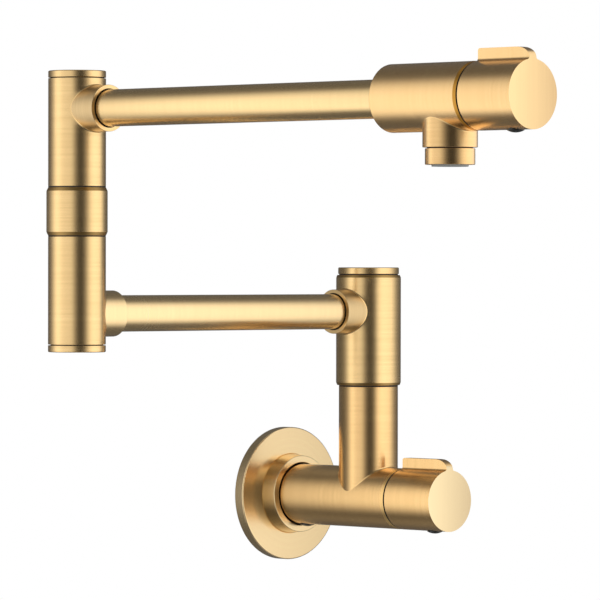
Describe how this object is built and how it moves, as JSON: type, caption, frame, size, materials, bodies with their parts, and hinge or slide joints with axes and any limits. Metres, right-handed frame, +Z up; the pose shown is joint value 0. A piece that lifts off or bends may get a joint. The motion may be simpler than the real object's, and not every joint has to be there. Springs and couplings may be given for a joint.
{
  "type": "wall mounted pot filler",
  "caption": "Folding wall tap in brushed gold with two jointed arms, a swivel post, an elbow, two quarter-turn levers and a spout head with an aerator.",
  "frame": {"origin": "centre of the supply port's mouth, on the wall's surface", "axes": "+Y into the wall along the valve's axis, +Z up, +X along the wall; the lower arm lies towards -X and the upper arm points towards -Y at rest"},
  "size_m": [0.2654, 0.3888, 0.2661],
  "materials": {
    "brushed_gold": "brushed brass with a satin gold coat",
    "raw_brass": "turned brass, uncoated",
    "screw_steel": "stainless steel",
    "seal_rubber": "soft black rubber",
    "foam": "closed cell foam",
    "ceramic": "lapped white ceramic",
    "slide_plastic": "black acetal",
    "plug_plastic": "black moulded plastic",
    "insert_plastic": "grey moulded plastic"
  },
  "bodies": {
    "base": {"wall_flange": "brushed_gold", "flange_gasket": "foam", "flange_o_ring": "seal_rubber", "inlet_adapter": "raw_brass", "inlet_o_rings": "seal_rubber", "valve_body": "brushed_gold", "body_set_screw": "screw_steel", "body_screw_plug": "plug_plastic", "base_cartridge": "raw_brass", "base_fixed_disc": "ceramic", "base_cartridge_seal": "seal_rubber", "base_retaining_nut": "raw_brass", "riser_spindle": "raw_brass", "spindle_o_rings": "seal_rubber", "sleeve_washers": "slide_plastic", "riser_cap": "brushed_gold"},
    "base_lever": {"base_handle": "brushed_gold", "base_stem": "raw_brass", "base_stem_ring": "seal_rubber", "base_moving_disc": "ceramic", "base_handle_screw": "screw_steel", "base_handle_plug": "plug_plastic"},
    "lower_arm": {"lower_sleeve": "brushed_gold", "lower_tube": "brushed_gold", "lower_tube_seals": "seal_rubber", "elbow_lower_column": "brushed_gold", "elbow_bottom_cap": "brushed_gold", "elbow_bottom_ring": "seal_rubber", "elbow_spindle": "raw_brass", "elbow_collar": "brushed_gold", "elbow_bush": "slide_plastic", "elbow_o_rings": "seal_rubber", "elbow_washers": "slide_plastic", "elbow_retaining_clip": "screw_steel"},
    "upper_arm": {"elbow_upper_column": "brushed_gold", "elbow_top_cap": "brushed_gold", "elbow_top_ring": "seal_rubber", "upper_tube": "brushed_gold", "upper_tube_seals": "seal_rubber", "spout_head": "brushed_gold", "head_cartridge": "raw_brass", "head_fixed_disc": "ceramic", "head_cartridge_seal": "seal_rubber", "head_retaining_nut": "raw_brass", "aerator_ring": "brushed_gold", "aerator_insert": "insert_plastic", "aerator_gasket": "seal_rubber"},
    "head_lever": {"head_handle": "brushed_gold", "head_stem": "raw_brass", "head_stem_ring": "seal_rubber", "head_moving_disc": "ceramic", "head_handle_screw": "screw_steel", "head_handle_plug": "plug_plastic"}
  },
  "joints": [
    {"name": "base_valve_turn", "type": "hinge", "parent": "base", "child": "base_lever", "pos_m": [0, -0.0947, 0], "axis": [0, -1, 0], "range_deg": [0, 90]},
    {"name": "post_swivel", "type": "hinge", "parent": "base", "child": "lower_arm", "pos_m": [0, -0.0673, 0.1015], "axis": [0, 0, 1], "range_deg": [-12, 192]},
    {"name": "elbow_swivel", "type": "hinge", "parent": "lower_arm", "child": "upper_arm", "pos_m": [-0.2122, -0.0673, 0.207], "axis": [0, 0, 1], "continuous": true},
    {"name": "spout_valve_turn", "type": "hinge", "parent": "upper_arm", "child": "head_lever", "pos_m": [-0.2122, -0.3542, 0.207], "axis": [0, -1, 0], "range_deg": [0, 90]}
  ]
}
